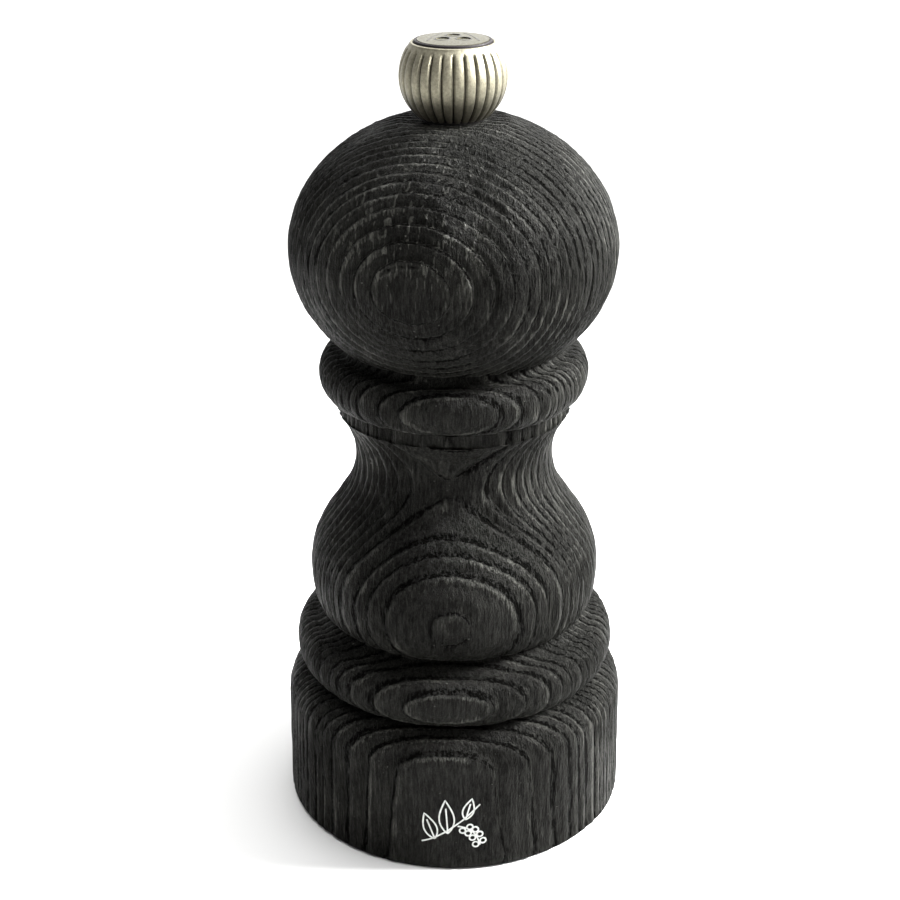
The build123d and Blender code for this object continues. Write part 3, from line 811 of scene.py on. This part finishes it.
def strokes_object(name, strokes, width, place, material):
    """Flat printed lines: place(u, v, depth) gives the point at a depth under their face."""
    vertices, faces = [], []
    for stroke in strokes:
        stroke = np.array(stroke)
        step = np.gradient(stroke, axis=0)
        side = np.stack((-step[:, 1], step[:, 0]), axis=1)
        side = side / np.linalg.norm(side, axis=1, keepdims=True) * width / 2.0
        first = len(vertices)
        for middle, out in zip(stroke, side):
            left, right = middle + out, middle - out
            for (u, v), depth in ((left, 0.0), (right, 0.0), (right, PRINT_DEPTH), (left, PRINT_DEPTH)):
                vertices.append(place(u, v, depth))
        for i in range(len(stroke) - 1):
            a = first + 4 * i
            for j in range(4):
                k = (j + 1) % 4
                faces.append((a + j, a + k, a + 4 + k, a + 4 + j))
        last = first + 4 * (len(stroke) - 1)
        faces += [(first + 3, first + 2, first + 1, first), (last, last + 1, last + 2, last + 3)]
    return mesh_object(name, vertices, faces, material)


def make_sprig(body):
    """Generic pepper sprig printed in white on the front of the foot."""
    shader = Shader("white_print", Roughness=0.55)
    wear = shader.noise(2.5, detail=2.0)
    shader.bump(wear, 0.01)
    shader.link(shader.ramp(wear, (0.3, (0.30, 0.31, 0.295)), (0.6, (0.46, 0.47, 0.45))), "Base Color")
    strokes = [bend((-4.6, -3.6), (-0.6, -2.2), (4.3, 3.2))]
    leaves = (
        ((-2.6, -2.95), (-4.2, 1.6), 1.0),
        ((-0.6, -1.9), (-1.0, 4.1), 1.15),
        ((2.1, 0.6), (3.1, 4.3), 0.85),
    )
    for base, tip, width in leaves:
        strokes += leaf(base, tip, width)
    strokes.append(bend((0.9, -0.6), (3.6, -0.9), (4.3, -4.1)))
    for u, v in bend((2.2, -1.1), (3.6, -1.6), (4.2, -3.7), steps=3):
        for side in (-0.62, 0.62):
            strokes.append(ring_stroke((u + side * 0.9, v + side * 0.5), 0.46))
    tree = BVHTree.FromObject(body, bpy.context.evaluated_depsgraph_get())

    def place(u, v, depth):
        start = Vector((u + MARK_AT[0], -40.0, v + MARK_AT[1])) * MM
        hit = tree.ray_cast(start, Vector((0.0, 1.0, 0.0)))[0] / MM
        return (hit.x, hit.y - PRINT + depth, hit.z)

    mark = strokes_object("printed_sprig", strokes, SPRIG_LINE, place, shader.material)
    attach(mark, "mill_body")


def cap_height(distance):
    """Height of the domed cap at a distance from its middle."""
    edge = CAP_RADIUS - CAP_BEVEL
    ball = (edge * edge + CAP_DOME * CAP_DOME) / (2.0 * CAP_DOME)
    return CAP_TOP - ball + math.sqrt(ball * ball - distance * distance)


def make_cap_print():
    """Thin dark lines around the cap's dimples, which stand for peppercorns, and at two sides."""
    shader = Shader("dark_print", Roughness=0.5)
    wear = shader.noise(3.0, detail=2.0)
    shader.bump(wear, 0.01)
    shader.link(shader.ramp(
        wear, (0.3, (0.010, 0.009, 0.007)), (0.7, (0.020, 0.018, 0.014))), "Base Color")
    strokes = []
    for i in range(DIMPLES):
        a = math.radians(90.0 + 360.0 * i / DIMPLES)
        centre = (DIMPLE_CIRCLE * math.cos(a), DIMPLE_CIRCLE * math.sin(a))
        strokes.append(ring_stroke(centre, DIMPLE_RADIUS + 0.12, steps=36))
    strokes.append(bend((-3.6, -2.0), (-2.9, 1.0), (-1.6, 3.6)))
    strokes.append(bend((3.6, -2.0), (2.9, 1.0), (1.6, 3.6)))

    def place(u, v, depth):
        return (u, v, cap_height(math.hypot(u, v)) + PRINT / 2.0 - depth)

    mark = strokes_object("cap_print", strokes, CAP_LINE, place, shader.material)
    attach(mark, "knob")


make_sprig(wood_body)
make_cap_print()


# ---- spindle and spring ------------------------------------------------------------------

def make_spindle(material):
    """Square rod with a groove for the clip at its foot and a real thread at its top."""
    columns = 64
    angles = np.linspace(0.0, 2.0 * math.pi, columns, endpoint=False)
    half = SPINDLE_SQUARE / 2.0
    flats = half / np.maximum(np.abs(np.cos(angles)), np.abs(np.sin(angles)))
    square = np.minimum(flats, SPINDLE_CORNER)
    clip_top = CONE_FOOT - CLIP_THICKNESS
    clip_bottom = clip_top - CLIP_THICKNESS
    round_rows = [
        (POLE, SPINDLE_FOOT), (SPINDLE_NECK - TIP_BEVEL, SPINDLE_FOOT),
        (SPINDLE_NECK, SPINDLE_FOOT + TIP_BEVEL), (SPINDLE_NECK, clip_bottom),
        (CLIP_GROOVE, clip_bottom), (CLIP_GROOVE, clip_top), (SPINDLE_NECK, clip_top),
        (SPINDLE_NECK, CONE_FOOT),
    ]
    rows = [(np.full(columns, radius), z) for radius, z in round_rows]
    rows += [(square, CONE_FOOT), (square, SPINDLE_THREAD_START)]
    rows.append((np.full(columns, half), SPINDLE_THREAD_START))
    for z in np.arange(SPINDLE_THREAD_START + THREAD_STEP, SPINDLE_TOP, THREAD_STEP):
        turn = (z / THREAD_PITCH - angles / (2.0 * math.pi)) % 1.0
        groove = np.clip(1.15 - 2.3 * np.abs(turn - 0.5), 0.0, 1.0)
        groove = groove * min(1.0, (z - SPINDLE_THREAD_START) / THREAD_RUN_IN)
        end = half - max(0.0, z - (SPINDLE_TOP - THREAD_BEVEL))
        rows.append((np.minimum(half - THREAD_DEPTH * groove, end), z))
    rows += [(np.full(columns, radius), SPINDLE_TOP) for radius in (half - THREAD_BEVEL, POLE)]
    vertices = np.array([
        np.stack((radius * np.cos(angles), radius * np.sin(angles), np.full(columns, z)), axis=1)
        for radius, z in rows
    ]).reshape(-1, 3)
    faces = lathe_faces(len(rows), columns, closed=True)
    piece = mesh_object("spindle_rod", vertices, faces, material)
    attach(piece, "spindle")
    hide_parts("spindle")


def make_spring(material):
    """Coil with closed end turns; it is not attached to any body."""
    steps, sides = 40, 12
    turns = np.linspace(0.0, SPRING_TURNS, SPRING_TURNS * steps + 1)
    closed = WIRE * 1.05
    heights = np.interp(
        turns, (0.0, 1.0, SPRING_TURNS - 1.0, SPRING_TURNS),
        (SPRING_LOW, SPRING_LOW + closed, SPRING_HIGH - closed, SPRING_HIGH))
    a = 2.0 * math.pi * turns
    out = np.stack((np.cos(a), np.sin(a), np.zeros_like(a)), axis=1)
    path = SPRING_RADIUS * out + np.stack((np.zeros_like(a), np.zeros_like(a), heights), axis=1)
    upright = np.array((0.0, 0.0, 1.0))
    vertices = []
    for middle, side in zip(path, out):
        for j in range(sides):
            b = 2.0 * math.pi * j / sides
            vertices.append(middle + WIRE / 2.0 * (side * math.cos(b) + upright * math.sin(b)))
    faces = lathe_faces(len(path), sides, closed=False)
    faces.append(tuple(range(sides))[::-1])
    faces.append(tuple(range(len(vertices) - sides, len(vertices))))
    piece = mesh_object("spring_coil", vertices, faces, material)
    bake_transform(piece)
    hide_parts("grinder_spring")


# ---- carried-over CAD nodes --------------------------------------------------------------

def metal(name, dark, light, rough, grain=3.0, stretch=(1, 1, 1), distance=0.02):
    """Metal mottled from dark to light; distance is how deep its spots are, in millimetres."""
    shader = Shader(name, Metallic=1.0, Roughness=rough)
    spots = shader.noise(grain, detail=3.0, roughness=0.6, stretch=stretch)
    shader.bump(spots, distance)
    shader.link(shader.ramp(spots, (0.3, dark), (0.7, light)), "Base Color")
    shader.link(spots.smooth(0.3, 0.7, rough - 0.08, rough + 0.10), "Roughness")
    return shader.material


def plastic(name, dark, light, rough):
    shader = Shader(name, Roughness=rough)
    spots = shader.noise(1.5, detail=3.0)
    shader.bump(shader.noise(12.0), 0.01)
    shader.link(shader.ramp(spots, (0.3, dark), (0.7, light)), "Base Color")
    shader.link(spots.smooth(0.3, 0.7, rough - 0.05, rough + 0.08), "Roughness")
    return shader.material


def repaint(material, *nodes):
    """Give carried-over CAD nodes a material in place of the one they came with."""
    for node in nodes:
        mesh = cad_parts[node].data
        mesh.materials.clear()
        mesh.materials.append(material)


repaint(metal("cap_metal", (0.074, 0.069, 0.046), (0.096, 0.090, 0.060), 0.45, grain=2.5, distance=0.008),
        "knob_cap")
repaint(metal("hardened_steel", (0.020, 0.020, 0.022), (0.050, 0.050, 0.053), 0.42),
        "male_grinder", "female_grinder")
repaint(metal("plated_sheet", (0.13, 0.13, 0.13), (0.19, 0.19, 0.188), 0.36), "grinder_housing",
        "spindle_bridge", "spring_washer", "grinder_washer")
# The washer's near-black colour is painted shade: it stands for the dark gap under the knob.
repaint(metal("washer_painted_shade", (0.010, 0.010, 0.010), (0.022, 0.021, 0.020), 0.45), "knob_washer")
repaint(metal("zinc_screws", (0.13, 0.125, 0.105), (0.19, 0.184, 0.16), 0.34),
        "housing_screws", "drive_plate_screws")
make_spindle(metal("drawn_rod", (0.085, 0.085, 0.088), (0.16, 0.16, 0.163), 0.36,
                   grain=5.0, stretch=(1, 1, 40)))
repaint(metal("stamped_plate", (0.12, 0.12, 0.123), (0.18, 0.18, 0.184), 0.38), "drive_plate")
SPRING_STEEL = metal("spring_wire", (0.09, 0.09, 0.094), (0.15, 0.15, 0.155), 0.30)
make_spring(SPRING_STEEL)
repaint(SPRING_STEEL, "retaining_clip")
repaint(plastic("nylon", (0.30, 0.29, 0.26), (0.38, 0.37, 0.34), 0.45), "guide_bush")
